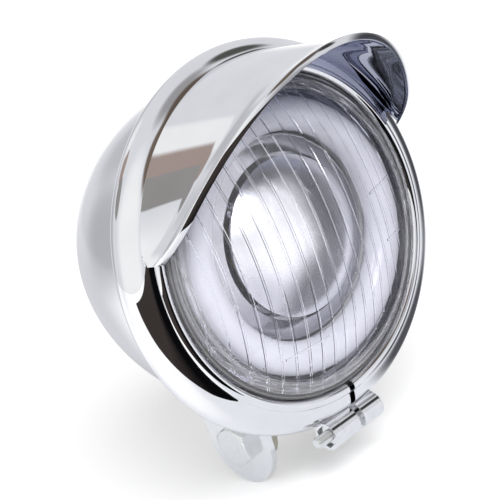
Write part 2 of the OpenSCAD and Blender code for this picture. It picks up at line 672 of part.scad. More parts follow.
// The dome that hides the lamp's chips, on legs that let the light out under it
module dome_shade() color("silver") on_axis() {
    ball = (dome_r * dome_r + dome_h * dome_h) / (2 * dome_h);
    half = asin(dome_r / ball);
    leg_out = dome_r - 0.8;
    ball_b = dome_b - dome_h + ball;
    face = oval(0, ball_b, ball, ball, 270, 270 + half, 20);
    back = reversed(oval(0, ball_b, ball - dome_t, ball - dome_t, 270, 270 + 0.9 * half, 18));
    turned(concat(face, [[dome_r, dome_b + dome_t], [leg_out - dome_t, dome_b + dome_t]], back));
    for (i = [0:dome_leg_count - 1]) rotate([0, 45 + 360 * i / dome_leg_count, 0])
        block([leg_out - dome_t, dome_b + dome_t / 2, -dome_leg_w / 2],
            [leg_out, bezel_floor_b, dome_leg_w / 2]);
}

// The lamp's core: a post with a board of chips, held in the reflector's neck
module lamp_post() color("lightsteelblue") on_axis() {
    axial(0, 0, post_b, neck_rear_b, post_r);
    axial(0, 0, neck_rear_b, post_rear_b, post_flange_r);
}

module core_board() color("seagreen") on_axis() difference() {
    translate([0, board_b, 0]) rotate([-90, 0, 0])
        cylinder(h = core_board_l, r = board_af / sqrt(3), $fn = 6);
    axial(0, 0, board_b - past, board_b + core_board_l + past, post_r);
}

module core_chips() color("khaki") on_axis() for (a = [30:60:330]) rotate([0, a, 0])
    block([board_af / 2, board_b + (core_board_l - chip_w) / 2, -chip_w / 2],
        [board_af / 2 + chip_t, board_b + (core_board_l + chip_w) / 2, chip_w / 2]);

module post_lock_ring() color("gray") on_axis() turned([[post_flange_r + 0.2, neck_rear_b],
    [neck_flat_r, neck_rear_b], [neck_flat_r, post_rear_b + lock_t],
    [post_flange_r - lock_lap, post_rear_b + lock_t], [post_flange_r - lock_lap, post_rear_b],
    [post_flange_r + 0.2, post_rear_b]]);

module heat_sink() color("lightslategray") on_axis() difference() {
    union() {
        axial(0, 0, post_rear_b, sink_rear_b, post_r);
        for (i = [0:fin_count - 1]) let (b = post_rear_b + fin_start + i * fin_pitch)
            axial(0, 0, b, b + fin_t, fin_r);
    }
    axial(0, 0, sink_rear_b - lead_socket, sink_rear_b + past, lead_r + play);
}

// The driver stands on the backing plate's pillars, on the bracket's screws
module driver_case() color([0.16, 0.17, 0.2]) on_axis() difference() {
    union() {
        block([-driver_w / 2, driver_front_b, driver_z], [driver_w / 2, driver_rear_b, driver_top_z]);
        intersection() {
            block([-6, screw_b[0] - 0.9 * saddle_screw_d, driver_z],
                [6, screw_b[1] + 1.2 * saddle_screw_d, driver_z + foot_t]);
            translate([0, 0, backing_t + play]) bucket_inside();
        }
    }
    for (b = screw_b) translate([0, b, driver_z - past])
        cylinder(h = foot_t + 2 * past, r = saddle_screw_d / 2 + play, $fn = hole_steps);
}

module supply_socket() color("ivory") on_axis() difference() {
    high_z = driver_top_z - socket_wall;
    right_x = -saddle_screw_d;
    low_z = high_z - socket_h;
    left_x = right_x - socket_w;
    block([left_x, driver_rear_b, low_z], [right_x, driver_rear_b + socket_l, high_z]);
    block([left_x + socket_wall, driver_rear_b + 2 * socket_wall, low_z + socket_wall],
        [right_x - socket_wall, driver_rear_b + socket_l + past, high_z - socket_wall]);
}

module main_lead() color("firebrick") on_axis() tube(main_route, lead_r);
module halo_lead() color("black") on_axis() tube(halo_route, lead_r);

module cable_grommet() color([0.1, 0.1, 0.11]) on_axis() {
    front = tail_b - bucket_wall;
    turned([[grommet_bore_r, front - grommet_collar_t], [grommet_r, front - grommet_collar_t],
        [grommet_r, front], [tail_hole_r, front], [tail_hole_r, tail_b], [grommet_r, tail_b],
        [grommet_r - 1.5, tail_b + grommet_collar_t], [grommet_bore_r, tail_b + grommet_collar_t]]);
}

// The bracket: a saddle under the bucket and two ears with round ends
module ear(from_x) difference() {
    union() {
        cross(from_x, from_x + ear_t, bolt_setback, -axis_height, ear_r);
        translate([from_x, 0, 0]) rotate([90, 0, 90]) linear_extrude(height = ear_t)
            polygon([[bolt_setback - ear_r, -axis_height], [saddle_front, saddle_z(saddle_front)],
                [saddle_front, 0.6 * -bucket_r], [saddle_rear, 0.6 * -bucket_r],
                [saddle_rear, saddle_z(saddle_rear)], [bolt_setback + ear_r, -axis_height]]);
    }
    cross(from_x - past, from_x + ear_t + past, bolt_setback, -axis_height, bolt_d / 2 + play);
}
function saddle_z(b) = -bucket_radius(bolt_setback) - saddle_t
    + (b - bolt_setback) * (bolt_setback - bucket_b) * pow(bucket_r / bucket_l, 2)
        / bucket_radius(bolt_setback);

module mount_bracket() color("silver") on_axis() difference() {
    union() {
        ear(-ear_x);
        ear(ear_x - ear_t);
        translate([-ear_x, 0, 0]) rotate([90, 0, 90]) linear_extrude(height = ears_w)
            polygon([[saddle_front, saddle_z(saddle_front)], [saddle_front, 0.6 * -bucket_r],
                [saddle_rear, 0.6 * -bucket_r], [saddle_rear, saddle_z(saddle_rear)]]);
    }
    bucket_outside();
    for (b = screw_b) translate([0, b, -axis_height])
        cylinder(h = axis_height, r = saddle_screw_d / 2, $fn = hole_steps);
}

// The plate inside the bucket, with a pillar at each screw for the driver's feet
module bucket_inside() turned(concat([[0, bucket_b - past], [bucket_r - bucket_wall, bucket_b - past]],
    tail_curve(bucket_wall), [[0, tail_b - bucket_wall]]));
module backing_plate() color("darkgray") on_axis() difference() {
    intersection() {
        union() {
            difference() {
                block([-15, saddle_front, -bucket_r], [15, saddle_rear, 0.5 * -bucket_r]);
                translate([0, 0, backing_t]) bucket_inside();
            }
            for (b = screw_b) translate([0, b, -bucket_r]) cylinder(h = bucket_r + driver_z, r = 5.5);
        }
        bucket_inside();
    }
    for (b = screw_b) translate([0, b, -bucket_r])
        cylinder(h = bucket_r, r = saddle_screw_d / 2 + play, $fn = hole_steps);
}

module bracket_screws() color("gray") on_axis() for (b = screw_b) translate([0, b, 0]) {
    head_z = driver_z + foot_t;
    translate([0, 0, saddle_z(b) + 0.5]) cylinder(h = head_z - saddle_z(b) - 0.5,
        r = saddle_screw_d / 2, $fn = hole_steps);
    translate([0, 0, head_z]) cylinder(h = 0.55 * saddle_screw_d, r = 0.9 * saddle_screw_d,
        $fn = hole_steps);
}

// The mounting bolt, its bushes, washer and nut
bolt_end_x = ear_x + washer_t + bolt_nut_t + bolt_spare;
module mount_bolt() color("silver") on_axis() {
    cross(-ear_x - bolt_head_t, -ear_x, bolt_setback, -axis_height, bolt_af / sqrt(3), 6);
    cross(-ear_x, bolt_end_x, bolt_setback, -axis_height, bolt_d / 2);
}
module bored(from_x, to_x, r, bore_r, steps = hole_steps) difference() {
    cross(from_x, to_x, bolt_setback, -axis_height, r, steps);
    cross(from_x - past, to_x + past, bolt_setback, -axis_height, bore_r);
}
module near_bush() color([0.72, 0.7, 0.62]) on_axis()
    bored(-ear_x + ear_t, -ear_x + ear_t + bush_l, bush_d / 2, bolt_d / 2 + 0.1);
module far_bush() color([0.72, 0.7, 0.62]) on_axis()
    bored(ear_x - ear_t - bush_l, ear_x - ear_t, bush_d / 2, bolt_d / 2 + 0.1);
module mount_washer() color("lightgray") on_axis()
    bored(ear_x, ear_x + washer_t, washer_d / 2, bolt_d / 2 + 0.2);
module mount_nut() color("lightgray") on_axis()
    bored(ear_x + washer_t, ear_x + washer_t + bolt_nut_t, bolt_af / sqrt(3), bolt_d / 2, 6);

bucket();
trim_ring();
visor();
nut_barrel();
head_barrel();
clamp_screw();
clamp_nut();
lens();
lens_gasket();
reflector();
unit_clips();
halo_tube();
halo_board();
halo_chips();
halo_carrier();
carrier_nuts();
inner_bezel();
dome_shade();
lamp_post();
core_board();
core_chips();
post_lock_ring();
heat_sink();
driver_case();
supply_socket();
main_lead();
halo_lead();
cable_grommet();
mount_bracket();
backing_plate();
bracket_screws();
mount_bolt();
near_bush();
far_bush();
mount_washer();
mount_nut();
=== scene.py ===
"""Looks of a bullet headlight for a motorcycle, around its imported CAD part.

Blender works in metres here. Lamp pieces are described in millimetres about the optical axis:
a radius, an angle from the top that grows towards +X, and a depth behind the bead's crest.
"""

import json
import math

import bmesh
import bpy
from mathutils import Matrix, Vector


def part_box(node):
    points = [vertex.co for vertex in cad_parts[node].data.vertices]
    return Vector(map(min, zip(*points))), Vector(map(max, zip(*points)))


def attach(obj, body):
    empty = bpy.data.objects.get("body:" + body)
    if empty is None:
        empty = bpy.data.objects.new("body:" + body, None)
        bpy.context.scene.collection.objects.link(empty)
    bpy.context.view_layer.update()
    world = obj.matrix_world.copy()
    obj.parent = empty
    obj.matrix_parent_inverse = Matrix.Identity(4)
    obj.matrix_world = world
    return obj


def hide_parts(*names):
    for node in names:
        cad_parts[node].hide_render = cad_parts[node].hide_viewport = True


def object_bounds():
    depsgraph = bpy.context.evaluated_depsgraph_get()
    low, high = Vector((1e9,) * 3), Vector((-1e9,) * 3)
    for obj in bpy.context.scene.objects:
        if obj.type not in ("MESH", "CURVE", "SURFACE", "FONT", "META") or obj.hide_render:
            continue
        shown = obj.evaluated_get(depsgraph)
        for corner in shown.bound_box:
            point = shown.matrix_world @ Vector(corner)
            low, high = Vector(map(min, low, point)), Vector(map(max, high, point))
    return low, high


MM = 0.001
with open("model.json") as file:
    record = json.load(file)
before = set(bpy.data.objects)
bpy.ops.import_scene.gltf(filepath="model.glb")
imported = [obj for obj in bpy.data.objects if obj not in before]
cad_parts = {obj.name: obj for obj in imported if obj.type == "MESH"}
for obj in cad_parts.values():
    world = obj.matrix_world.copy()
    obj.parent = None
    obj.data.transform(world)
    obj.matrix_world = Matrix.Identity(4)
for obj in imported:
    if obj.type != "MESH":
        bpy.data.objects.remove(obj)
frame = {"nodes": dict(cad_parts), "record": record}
nodes = frame["nodes"]
cad_box = [list(corner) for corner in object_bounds()]

# Driving sizes in millimetres, as in the part's source
BEAD_R, BEAD_ROUND = 56.6, 1.9
RING_R, RING_BELLY, RING_TAIL, RING_SHOULDER = 66.6, 10.8, 4.4, 4.2
RING_LIP_R, RING_WALL, RING_GAP = 60.2, 1.2, 2.4
BUCKET_R, BUCKET_L, BUCKET_WALL, TAIL_FLAT_R, TAIL_HOLE_R = 58.5, 77.0, 1.2, 9.5, 6.0
SEAT_R = 63.6
VISOR_SEAT_R, VISOR_LIP_R, VISOR_CROWN, VISOR_REACH, VISOR_RAKE = 61.9, 59.4, 2.8, 46.8, 0.9
VISOR_HALF, VISOR_SEAT_HALF, VISOR_CURL, VISOR_T, LIP_ROLL = 74.2, 70.0, 4.4, 1.3, 1.0
HALO_R, HALO_ROUND, HALO_B, HALO_CUT, HALO_BOARD_T = 40.3, 5.7, 3.19, 3.7, 1.6
BEZEL_R, BEZEL_B, BEZEL_LIP_R, BEZEL_LIP_B, BEZEL_T = 34.3, 6.2, 27.9, 3.9, 1.2
BEZEL_FLOOR_B, BEZEL_HOLE_R, CARRIER_IN_R = 7.5, 23.7, 32.4
DOME_R, DOME_H, DOME_B, DOME_T, DOME_LEG_COUNT, DOME_LEG_W = 26.7, 9.0, 1.8, 1.2, 4, 6.0
CLAMP_SCREW_D = 4.0
BOLT_D, BOLT_AF, BOLT_HEAD_T = 9.5, 14.3, 4.0
GROMMET_BORE_R, GROMMET_R, GROMMET_COLLAR_T = 3.0, 8.5, 2.4

# Forms that only this scene has, in millimetres: the visor's hem and the face of its lip, rounded edges,
# threads and their pitches, and the rings pressed in the reflector and the lens, as (pitch, least radius)
VISOR_HEM_W, VISOR_HEM_FLARE, VISOR_FACE = 7.5, 1.8, 1.3
BEZEL_EDGE, BEZEL_LIP_EDGE = 0.6, 0.3
DOME_RIM_W, DOME_LEG_IN = 2.0, 0.8
BOLT_THREAD_L, BOLT_PITCH, CLAMP_PITCH = 16.0, 1.6, 0.7
GROMMET_ROUND, GROMMET_BORE_ROUND = 0.8, 0.5
REFLECTOR_RINGS = (1.8, 44.0)
LENS_RINGS = (2.1, 47.5)

# A thread's depth and worn end as shares of its pitch, its sharpness, and where a hexagon's corners are
# turned down
THREAD_DEPTH, THREAD_WORN, THREAD_SHARPNESS = 0.6, 0.9, 1.5
HEX_FACE_SHARE, HEX_TURN_SLOPE = 0.475, 1.7

# The angle at which the ring's bead ends in the crease
CREASE_ANGLE = math.radians(20)
CREASE_R = BEAD_R + BEAD_ROUND * math.cos(CREASE_ANGLE)
CREASE_B = BEAD_ROUND * (1 - math.sin(CREASE_ANGLE))
LIP_B = BEAD_ROUND + RING_WALL
RING_REAR_B = RING_BELLY + RING_TAIL
BUCKET_B = RING_REAR_B - RING_WALL - BUCKET_WALL
TAIL_B = BUCKET_B + BUCKET_L * math.sqrt(1 - (TAIL_FLAT_R / BUCKET_R) ** 2)
VISOR_FOOT_B = CREASE_B + 0.8
CARRIER_B = HALO_B + HALO_CUT + HALO_BOARD_T

# The optical axis, from the frame: the ring's middle, and the bead's crest at its front
ring_low, ring_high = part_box("trim_ring")
AXIS_Z = (ring_low[2] + ring_high[2]) / 2
CREST_Y = ring_low[1]

TURN_STEPS = 288


def place(radius, angle, depth):
    """A point in the part's frame, from a radius, an angle from the top and a depth."""
    return Vector((radius * MM * math.sin(angle), CREST_Y + depth * MM,
                   AXIS_Z + radius * MM * math.cos(angle)))


# The camera stands where the photograph's did: its direction, roll and distance from the lens
CAM_AZIMUTH, CAM_ELEVATION, CAM_ROLL = math.radians(-37.3), math.radians(14.95), math.radians(-20.7)
CAM_DISTANCE, CAM_ACROSS, CAM_UP = 660.5, 15.2, 4.8
CAM_FOCAL = 4.0


def add_camera():
    """Sets the scene's camera; the focal length is four times the frame's width."""
    back = Vector((math.sin(CAM_AZIMUTH) * math.cos(CAM_ELEVATION),
                   -math.cos(CAM_AZIMUTH) * math.cos(CAM_ELEVATION), math.sin(CAM_ELEVATION)))
    level = Vector((math.cos(CAM_AZIMUTH), math.sin(CAM_AZIMUTH), 0.0))
    right = math.cos(CAM_ROLL) * level + math.sin(CAM_ROLL) * back.cross(level)
    up = back.cross(right)
    spot = (back * CAM_DISTANCE - right * CAM_ACROSS - up * CAM_UP) * MM + place(0, 0, 0)
    data = bpy.data.cameras.new("camera")
    data.sensor_width = 36.0
    data.lens = CAM_FOCAL * data.sensor_width
    data.clip_start = 0.01
    data.clip_end = 20.0
    camera = bpy.data.objects.new("camera", data)
    bpy.context.scene.collection.objects.link(camera)
    camera.matrix_world = Matrix((
        (right.x, up.x, back.x, spot.x),
        (right.y, up.y, back.y, spot.y),
        (right.z, up.z, back.z, spot.z),
        (0.0, 0.0, 0.0, 1.0)))
    bpy.context.scene.camera = camera


add_camera()


# Mesh helpers: a shape is a list of points and a list of faces
def oval(r, b, half_r, half_b, start, end, steps):
    """Points of an ellipse as (radius, depth); 270 degrees is its front and 0 or 360 its outside."""
    points = []
    for i in range(steps + 1):
        a = math.radians(start + (end - start) * i / steps)
        points.append((r + half_r * math.cos(a), b + half_b * math.sin(a)))
    return points


def turned(profile, steps=TURN_STEPS, gap=0.0):
    """A turned shape from a closed list of (radius, depth). A gap leaves a slot that wide at the bottom."""
    verts, faces, rings = [], [], []
    columns = steps + 1 if gap else steps
    for r, b in profile:
        if r < 1e-6:
            rings.append([len(verts)] * columns)
            verts.append(place(0, 0, b))
            continue
        start = math.asin(gap / 2 / r) if gap else 0.0
        span = 2 * math.pi - 2 * start
        rings.append(list(range(len(verts), len(verts) + columns)))
        for i in range(columns):
            verts.append(place(r, math.pi + start + span * i / steps, b))
    for j, here in enumerate(rings):
        there = rings[(j + 1) % len(rings)]
        if here[0] == here[-1] and there[0] == there[-1]:
            continue
        for i in range(steps):
            k = (i + 1) % columns
            face = [here[i], here[k], there[k], there[i]]
            face = [v for n, v in enumerate(face) if v not in face[:n]]
            if len(face) > 2:
                faces.append(face)
    if gap:
        faces.append([ring[0] for ring in rings])
        faces.append([ring[-1] for ring in reversed(rings)])
    return verts, faces


def circle(radius):
    """Radius of a circle at any angle."""
    return lambda angle: radius


def hexagon(flats, limit=math.inf):
    """Radius of a hexagon of that width across its flats, turned down to a limit."""
    return lambda angle: min(flats / 2 / math.cos(angle % (math.pi / 3) - math.pi / 6), limit)


def hex_stations(from_x, to_x, flats, ends=(True, True)):
    """Stations of a hexagon along X with its corners turned down at one or both ends."""
    stations, steps = [], 60
    for i in range(steps + 1):
        x = from_x + (to_x - from_x) * i / steps
        room = min([x - from_x] * ends[0] + [to_x - x] * ends[1] + [math.inf])
        stations.append((x, hexagon(flats, HEX_FACE_SHARE * flats + HEX_TURN_SLOPE * room)))
    return stations


def thread_stations(from_x, to_x, radius, pitch):
    """Stations of a screw thread along X, turned down at its far end."""
    stations, steps = [], round(abs(to_x - from_x) / pitch * 10)
    for i in range(steps + 1):
        x = from_x + (to_x - from_x) * i / steps
        worn = max(0.0, THREAD_WORN - abs(to_x - x) / pitch)

        def crest(angle, x=x, worn=worn):
            phase = (x / pitch - angle / (2 * math.pi)) % 1
            return radius - THREAD_DEPTH * pitch * max(abs(2 * phase - 1) ** THREAD_SHARPNESS, worn)
        stations.append((x, crest))
    return stations


def bar(y, z, stations, sides=96):
    """A shape along X through (y, z) in metres, from stations of (x in mm, radius by angle)."""
    verts, faces = [], []
    for x, radius in stations:
        for k in range(sides):
            angle = 2 * math.pi * k / sides
            r = radius(angle) * MM
            verts.append(Vector((x * MM, y + r * math.sin(angle), z + r * math.cos(angle))))
    for j in range(len(stations) - 1):
        for k in range(sides):
            n = (k + 1) % sides
            faces.append([j * sides + k, j * sides + n, (j + 1) * sides + n, (j + 1) * sides + k])
    faces.append(list(range(sides)))
    faces.append(list(range((len(stations) - 1) * sides, len(stations) * sides)))
    return verts, faces


def slab(angle, from_r, to_r, from_b, to_b, width):
    """A flat shape across a radius, at an angle from the top."""
    side = Vector((math.cos(angle), 0.0, -math.sin(angle))) * width * MM / 2
    verts = []
    for b in (from_b, to_b):
        for r in (from_r, to_r):
            verts += [place(r, angle, b) - side, place(r, angle, b) + side]
    return verts, [[0, 1, 3, 2], [4, 6, 7, 5], [0, 2, 6, 4], [1, 5, 7, 3], [0, 4, 5, 1], [2, 3, 7, 6]]


def new_piece(name, shapes, material, instead_of=None, sharp=35.0):
    """A shaded piece made of one or more shapes, which rides on the part and may stand for a CAD node."""
    verts, faces = [], []
    for shape_verts, shape_faces in shapes:
        first = len(verts)
        verts += [tuple(v) for v in shape_verts]
        faces += [[first + v for v in face] for face in shape_faces]
    mesh = bpy.data.meshes.new(name)
    mesh.from_pydata(verts, [], faces)
    mesh.validate()
    work = bmesh.new()
    work.from_mesh(mesh)
    bmesh.ops.recalc_face_normals(work, faces=work.faces)
    work.to_mesh(mesh)
    work.free()
    for polygon in mesh.polygons:
        polygon.use_smooth = True
    mesh.set_sharp_from_angle(angle=math.radians(sharp))
    mesh.materials.append(mats[material])
    piece = bpy.data.objects.new(name, mesh)
    bpy.context.scene.collection.objects.link(piece)
    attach(piece, "root")
    if instead_of:
        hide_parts(instead_of)
    return piece


# Materials
def new_material(name):
    """A node material; returns it with its nodes, its links and its shader."""
    material = bpy.data.materials.new(name)
    material.use_nodes = True
    tree = material.node_tree
    return material, tree.nodes, tree.links, tree.nodes["Principled BSDF"]


def set_inputs(shader, **values):
    """Sets a shader's sockets by name, with underscores for spaces."""
    for key, value in values.items():
        shader.inputs[key.replace("_", " ")].default_value = value


def add_noise(ns, links, scale, detail=4.0, stretch=(1, 1, 1)):
    """A noise texture in object space; returns its value socket."""
    where = ns.new("ShaderNodeTexCoord")
    mapping = ns.new("ShaderNodeMapping")
    mapping.inputs["Scale"].default_value = stretch
    noise = ns.new("ShaderNodeTexNoise")
    noise.inputs["Scale"].default_value = scale
    noise.inputs["Detail"].default_value = detail
    links.new(where.outputs["Object"], mapping.inputs["Vector"])
    links.new(mapping.outputs["Vector"], noise.inputs["Vector"])
    return noise.outputs["Fac"]


def ramp(ns, links, source, stops):
    """A colour ramp over a value; stops are (position, grey or colour)."""
    node = ns.new("ShaderNodeValToRGB")
    elements = node.color_ramp.elements
    while len(elements) < len(stops):
        elements.new(0.5)
    for element, (position, colour) in zip(elements, stops):
        element.position = position
        if isinstance(colour, (int, float)):
            colour = (colour, colour, colour)
        element.color = (*colour, 1.0)
    links.new(source, node.inputs["Fac"])
    return node.outputs["Color"]


def relief(ns, links, shader, height, strength, distance, edge=0.0):
    """A bump of that height socket on the shader, over edges rounded to a radius in metres."""
    node = ns.new("ShaderNodeBump")
    node.inputs["Strength"].default_value = strength
    node.inputs["Distance"].default_value = distance
    links.new(height, node.inputs["Height"])
    links.new(node.outputs["Normal"], shader.inputs["Normal"])
    if edge:
        soft = ns.new("ShaderNodeBevel")
        soft.samples = 6
        soft.inputs["Radius"].default_value = edge
        links.new(soft.outputs["Normal"], node.inputs["Normal"])


def ripples(ns, links, pitch, from_r):
    """Rings about the optical axis with a pitch in millimetres, outside a radius; returns their height."""
    where = ns.new("ShaderNodeTexCoord")
    flat = ns.new("ShaderNodeVectorMath")
    flat.operation = "MULTIPLY_ADD"
    flat.inputs[1].default_value = (1 / MM, 0.0, 1 / MM)
    flat.inputs[2].default_value = (0.0, 0.0, -AXIS_Z / MM)
    radius = ns.new("ShaderNodeVectorMath")
    radius.operation = "LENGTH"
    wave = ns.new("ShaderNodeMath")
    wave.operation = "PINGPONG"
    wave.inputs[1].default_value = pitch / 2
    fade = ns.new("ShaderNodeMapRange")
    fade.inputs["From Min"].default_value = from_r
    fade.inputs["From Max"].default_value = from_r + 1
    height = ns.new("ShaderNodeMath")
    height.operation = "MULTIPLY"
    links.new(where.outputs["Object"], flat.inputs[0])
    links.new(flat.outputs[0], radius.inputs[0])
    links.new(radius.outputs["Value"], wave.inputs[0])
    links.new(radius.outputs["Value"], fade.inputs["Value"])
    links.new(wave.outputs[0], height.inputs[0])
    links.new(fade.outputs[0], height.inputs[1])
    return height.outputs[0]


def metal(name, colour, rough, waves, scale=60.0, stretch=(1, 1, 1), edge=0.0):
    """A bare or plated metal: rough is its least and most roughness, waves the height of its unevenness."""
    material, ns, links, shader = new_material(name)
    set_inputs(shader, Metallic=1.0)
    noise = add_noise(ns, links, scale, stretch=stretch)
    links.new(ramp(ns, links, noise, [(0.3, rough[0]), (0.7, rough[1])]), shader.inputs["Roughness"])
    shade = [c * 0.93 for c in colour]
    links.new(ramp(ns, links, noise, [(0.25, shade), (0.6, colour)]), shader.inputs["Base Color"])
    relief(ns, links, shader, add_noise(ns, links, scale * 0.5, 1.0, stretch), 0.3, waves, edge)
    return material


def plastic(name, colour, dark, rough, scale=200.0, grain=0.00002, edge=0.0):
    """A moulded plastic or rubber: two close shades and a fine grain."""
    material, ns, links, shader = new_material(name)
    noise = add_noise(ns, links, scale)
    links.new(ramp(ns, links, noise, [(0.35, dark), (0.65, colour)]), shader.inputs["Base Color"])
    set_inputs(shader, Roughness=rough)
    relief(ns, links, shader, add_noise(ns, links, scale * 6), 0.4, grain, edge)
    return material


def opal():
    """The halo's milky plastic."""
    material, ns, links, shader = new_material("opal_plastic")
    noise = add_noise(ns, links, 90.0)
    links.new(ramp(ns, links, noise, [(0.3, (0.8, 0.8, 0.86)), (0.7, (0.87, 0.87, 0.92))]),
              shader.inputs["Base Color"])
    set_inputs(shader, Roughness=0.25, Coat_Weight=0.5, Coat_Roughness=0.05)
    return material


def bowl_metal():
    """The reflector's bright coating, with pressed rings near its mouth."""
    material = metal("reflector_metal", (0.82, 0.82, 0.88), (0.08, 0.14), 0.00002, 80.0)
    ns, links = material.node_tree.nodes, material.node_tree.links
    relief(ns, links, ns["Principled BSDF"], ripples(ns, links, *REFLECTOR_RINGS), 1.0, 0.0004)
    return material


def clear_lens():
    """The lens's clear plastic, faintly violet; it lets the lamps' light through to what lies behind."""
    material, ns, links, shader = new_material("lens_clear")
    set_inputs(shader, Base_Color=(0.965, 0.965, 1.0, 1.0), Transmission_Weight=1.0, IOR=1.49)
    noise = add_noise(ns, links, 40.0)
    links.new(ramp(ns, links, noise, [(0.3, 0.0), (0.8, 0.012)]), shader.inputs["Roughness"])
    rings = ripples(ns, links, *LENS_RINGS)
    relief(ns, links, shader, rings, 1.0, 0.00025)
    links.new(ramp(ns, links, rings, [(0.0, 1.0), (0.3, 0.85), (0.6, 0.93), (1.0, 0.75)]),
              shader.inputs["Transmission Weight"])
    open_way = ns.new("ShaderNodeBsdfTransparent")
    open_way.inputs["Color"].default_value = (0.98, 0.98, 1.0, 1.0)
    path = ns.new("ShaderNodeLightPath")
    either = ns.new("ShaderNodeMath")
    either.operation = "MAXIMUM"
    links.new(path.outputs["Is Shadow Ray"], either.inputs[0])
    links.new(path.outputs["Is Diffuse Ray"], either.inputs[1])
    mix = ns.new("ShaderNodeMixShader")
    links.new(either.outputs[0], mix.inputs["Fac"])
    links.new(shader.outputs[0], mix.inputs[1])
    links.new(open_way.outputs[0], mix.inputs[2])
    links.new(mix.outputs[0], ns["Material Output"].inputs["Surface"])
    return material


CHROME = (0.86, 0.865, 0.885)
# Radius in metres to which a shader rounds the edges of metal and rubber pieces
CAD_EDGE = 0.0002
mats = {
    "shell_chrome": metal("shell_chrome", CHROME, (0.01, 0.04), 0.00002),
    "bucket_chrome": metal("bucket_chrome", (0.84, 0.845, 0.865), (0.16, 0.2), 0.00002, 30.0),
    "clamp_chrome": metal("clamp_chrome", (0.84, 0.84, 0.86), (0.02, 0.06), 0.00002, 300.0,
                          edge=CAD_EDGE),
    "fastener_steel": metal("fastener_steel", (0.78, 0.79, 0.79), (0.06, 0.13), 0.00002, 500.0,
                            edge=CAD_EDGE / 2),
    "bracket_chrome": metal("bracket_chrome", (0.84, 0.85, 0.86), (0.06, 0.14), 0.00003, 120.0,
                            edge=CAD_EDGE),
    # The visor's inside is the same chrome in a darker, bluish colour: painted shade and a painted dark
    # reflection under the visor
    "visor_inside": metal("visor_inside", (0.34, 0.36, 0.47), (0.01, 0.04), 0.00002),
    "reflector_metal": bowl_metal(),
    "dome_chrome": metal("dome_chrome", (0.86, 0.86, 0.88), (0.24, 0.28), 0.00002, 80.0),
    # The bezel is chrome in a mid-grey colour: painted shade for the collar deep inside the lamp
    "bezel_chrome": metal("bezel_chrome", (0.5, 0.5, 0.53), (0.12, 0.2), 0.0002, 60.0),
    "sink_aluminium": metal("sink_aluminium", (0.75, 0.76, 0.78), (0.25, 0.4), 0.00001, 300.0),
    "clip_brass": metal("clip_brass", (0.8, 0.62, 0.32), (0.15, 0.3), 0.00001, 300.0),
    "gasket_rubber": plastic("gasket_rubber", (0.03, 0.03, 0.035), (0.02, 0.02, 0.022), 0.6),
    "board_white": plastic("board_white", (0.82, 0.82, 0.82), (0.76, 0.76, 0.76), 0.4),
    "chip_yellow": plastic("chip_yellow", (0.85, 0.72, 0.2), (0.75, 0.6, 0.12), 0.3),
    "carrier_grey": plastic("carrier_grey", (0.16, 0.16, 0.17), (0.12, 0.12, 0.13), 0.5),
    "board_green": plastic("board_green", (0.03, 0.16, 0.06), (0.02, 0.12, 0.05), 0.35),
    "driver_plastic": plastic("driver_plastic", (0.04, 0.04, 0.045), (0.03, 0.03, 0.033), 0.45),
    "socket_nylon": plastic("socket_nylon", (0.8, 0.77, 0.66), (0.75, 0.71, 0.6), 0.4),
    "lead_red": plastic("lead_red", (0.45, 0.02, 0.02), (0.35, 0.015, 0.015), 0.4),
    "lead_black": plastic("lead_black", (0.02, 0.02, 0.02), (0.015, 0.015, 0.015), 0.4),
    "bush_rubber": plastic("bush_rubber", (0.62, 0.6, 0.5), (0.52, 0.5, 0.42), 0.5, edge=CAD_EDGE),
    "opal_plastic": opal(),
    "lens_clear": clear_lens(),
}

for sub in frame["record"]["subparts"]:
    cad_mesh = nodes[sub["node"]].data
    cad_mesh.materials.clear()
    cad_mesh.materials.append(mats[sub["material_slot"]])


# Trim ring and bucket
def ring_profile():
    """The trim ring's section: bead, crease, cheek and rear lip, then back along the inside."""
    outside = oval(BEAD_R, BEAD_ROUND, BEAD_ROUND, BEAD_ROUND, 180, 340, 28)
    outside += oval(CREASE_R, RING_BELLY, RING_R - CREASE_R, RING_BELLY - CREASE_B, 271, 360, 60)
    outside += oval(RING_R - RING_SHOULDER, RING_BELLY, RING_SHOULDER, RING_TAIL, 3, 90, 28)
    fold = BEAD_ROUND - RING_WALL + 0.2
    inside = [(RING_LIP_R, RING_REAR_B), (RING_LIP_R, RING_REAR_B - RING_WALL)]
    inside += oval(RING_R - RING_SHOULDER, RING_BELLY, RING_SHOULDER - RING_WALL,
                   RING_TAIL - RING_WALL, 90, 6, 12)
    inside += oval(CREASE_R, RING_BELLY, RING_R - CREASE_R - RING_WALL,
                   RING_BELLY - CREASE_B - RING_WALL, 360, 270, 24)
    inside += oval(BEAD_R, BEAD_ROUND, fold, fold, 340, 180, 12)
    return [(BEAD_R - BEAD_ROUND, LIP_B)] + outside + inside + [(BEAD_R - BEAD_ROUND + 1, LIP_B)]


def tail_curve(inset, steps):
    """The bucket's curve from its flange to its tail flat."""
    last = math.degrees(math.asin(TAIL_FLAT_R / BUCKET_R))
    return oval(0, BUCKET_B, BUCKET_R - inset, BUCKET_L - inset, 0, 90 - last, steps)


def bucket_profile():
    """The bucket's section with its flange."""
    inner_b = TAIL_B - BUCKET_WALL
    outside = [p for p in tail_curve(0, 150) if p[1] > BUCKET_B + BUCKET_WALL]
    inside = [p for p in tail_curve(BUCKET_WALL, 80) if p[1] < inner_b]
    return ([(BUCKET_R - BUCKET_WALL, BUCKET_B), (SEAT_R, BUCKET_B), (SEAT_R, BUCKET_B + BUCKET_WALL / 2),
             (RING_R - RING_SHOULDER, BUCKET_B + BUCKET_WALL), (BUCKET_R, BUCKET_B + BUCKET_WALL)] + outside
            + [(TAIL_HOLE_R, TAIL_B), (TAIL_HOLE_R, inner_b), (TAIL_FLAT_R, inner_b)] + inside[::-1])


